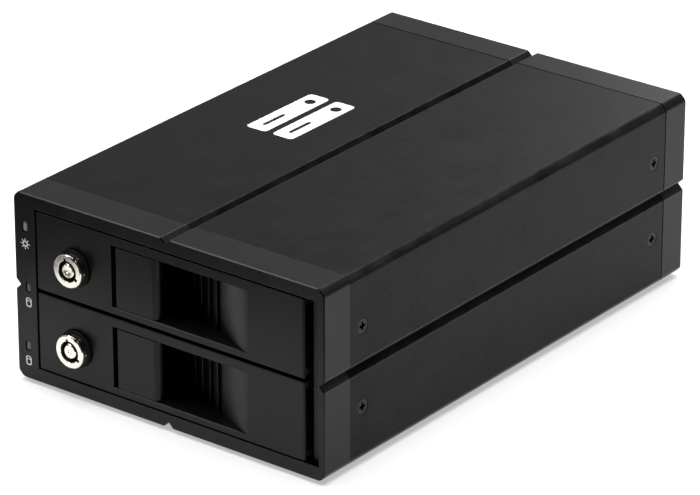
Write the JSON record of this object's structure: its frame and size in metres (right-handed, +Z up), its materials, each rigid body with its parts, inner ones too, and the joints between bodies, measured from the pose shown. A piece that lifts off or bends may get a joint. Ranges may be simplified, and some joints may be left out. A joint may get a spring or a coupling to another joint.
{
  "type": "network attached storage",
  "caption": "Boxy metal drive enclosure with stacked key-locking swing doors, pull-out drive trays, side V grooves and a rear fan and ports.",
  "frame": {"origin": "middle of the footprint, on the surface that the feet stand on", "axes": "+X to the right seen from the front, +Y from the front doors to the rear panel, +Z up"},
  "size_m": [0.134, 0.2136, 0.0715],
  "materials": {
    "sleeve": "anodised black, brushed",
    "bezel": "satin black",
    "door": "semi-gloss black",
    "tray": "moulded black",
    "nickel": "nickel plated",
    "steel": "zinc plated sheet",
    "case_screw": "blackened steel",
    "drive_metal": "cast and machined housing",
    "board": "green solder mask",
    "rubber": "matte",
    "light_pipe": "frosted clear",
    "socket": "moulded black",
    "black_steel": "blackened and powder coated"
  },
  "bodies": {
    "case": {"sleeve": "sleeve", "front_bezel": "bezel", "rear_bezel": "bezel", "case_screw_front_left_low": "case_screw", "case_screw_front_left_high": "case_screw", "case_screw_rear_left_low": "case_screw", "case_screw_rear_left_high": "case_screw", "case_screw_front_right_low": "case_screw", "case_screw_front_right_high": "case_screw", "case_screw_rear_right_low": "case_screw", "case_screw_rear_right_high": "case_screw", "foot_front_left": "rubber", "foot_rear_left": "rubber", "foot_front_right": "rubber", "foot_rear_right": "rubber", "light_pipe_power": "light_pipe", "light_pipe_upper": "light_pipe", "light_pipe_lower": "light_pipe", "led_board": "board", "bay_cage": "steel", "backplane": "board", "sata_socket_lower": "socket", "sata_socket_upper": "socket", "main_board": "board", "rear_panel": "black_steel", "lan_port": "steel", "usb_port": "steel", "power_jack": "socket", "switch_frame": "socket", "fan_frame": "socket", "fan_guard": "black_steel"},
    "switch_rocker": {"switch_rocker": "door"},
    "reset_button": {"reset_button": "socket"},
    "fan_rotor": {"fan_rotor": "socket"},
    "tray_lower": {"tray_lower": "tray", "drive_case_lower": "drive_metal", "drive_board_lower": "board", "hinge_pin_lower": "black_steel"},
    "door_lower": {"door_lower": "door", "paddle_pin_lower": "steel", "paddle_spring_lower": "steel", "lock_body_lower": "nickel", "lock_nut_lower": "steel"},
    "paddle_lower": {"paddle_lower": "door"},
    "lock_plug_lower": {"lock_plug_lower": "nickel", "lock_cam_lower": "steel"},
    "tray_upper": {"tray_upper": "tray", "drive_case_upper": "drive_metal", "drive_board_upper": "board", "hinge_pin_upper": "black_steel"},
    "door_upper": {"door_upper": "door", "paddle_pin_upper": "steel", "paddle_spring_upper": "steel", "lock_body_upper": "nickel", "lock_nut_upper": "steel"},
    "paddle_upper": {"paddle_upper": "door"},
    "lock_plug_upper": {"lock_plug_upper": "nickel", "lock_cam_upper": "steel"}
  },
  "joints": [
    {"name": "tray_slide_lower", "type": "slide", "parent": "case", "child": "tray_lower", "axis": [0, -1, 0], "range_m": [0, 0.14]},
    {"name": "door_swing_lower", "type": "hinge", "parent": "tray_lower", "child": "door_lower", "pos_m": [0.0562, -0.0998, 0.02125], "axis": [0, 0, 1], "range_deg": [0, 90]},
    {"name": "paddle_pull_lower", "type": "hinge", "parent": "door_lower", "child": "paddle_lower", "pos_m": [-0.0206, -0.0986, 0.0208], "axis": [0, 0, -1], "range_deg": [0, 20], "stiffness_Nm_per_rad": 0.03, "springref_deg": -6.88},
    {"name": "lock_turn_lower", "type": "hinge", "parent": "door_lower", "child": "lock_plug_lower", "pos_m": [-0.0404, -0.0872, 0.0193], "axis": [0, -1, 0], "range_deg": [0, 50]},
    {"name": "tray_slide_upper", "type": "slide", "parent": "case", "child": "tray_upper", "axis": [0, -1, 0], "range_m": [0, 0.14]},
    {"name": "door_swing_upper", "type": "hinge", "parent": "tray_upper", "child": "door_upper", "pos_m": [0.0562, -0.0998, 0.0514], "axis": [0, 0, 1], "range_deg": [0, 90]},
    {"name": "paddle_pull_upper", "type": "hinge", "parent": "door_upper", "child": "paddle_upper", "pos_m": [-0.0206, -0.0986, 0.05095], "axis": [0, 0, -1], "range_deg": [0, 20], "stiffness_Nm_per_rad": 0.03, "springref_deg": -6.88},
    {"name": "lock_turn_upper", "type": "hinge", "parent": "door_upper", "child": "lock_plug_upper", "pos_m": [-0.0404, -0.0872, 0.04945], "axis": [0, -1, 0], "range_deg": [0, 50]},
    {"name": "fan_spin", "type": "hinge", "parent": "case", "child": "fan_rotor", "pos_m": [0.03, 0.0968, 0.0365], "axis": [0, 1, 0], "continuous": true},
    {"name": "power_rocker", "type": "hinge", "parent": "case", "child": "switch_rocker", "pos_m": [-0.024, 0.1, 0.0515], "axis": [1, 0, 0], "range_deg": [0, 12]},
    {"name": "reset_press", "type": "slide", "parent": "case", "child": "reset_button", "axis": [0, -1, 0], "range_m": [0, 0.001], "stiffness_N_per_m": 400, "springref_m": -0.0005}
  ]
}
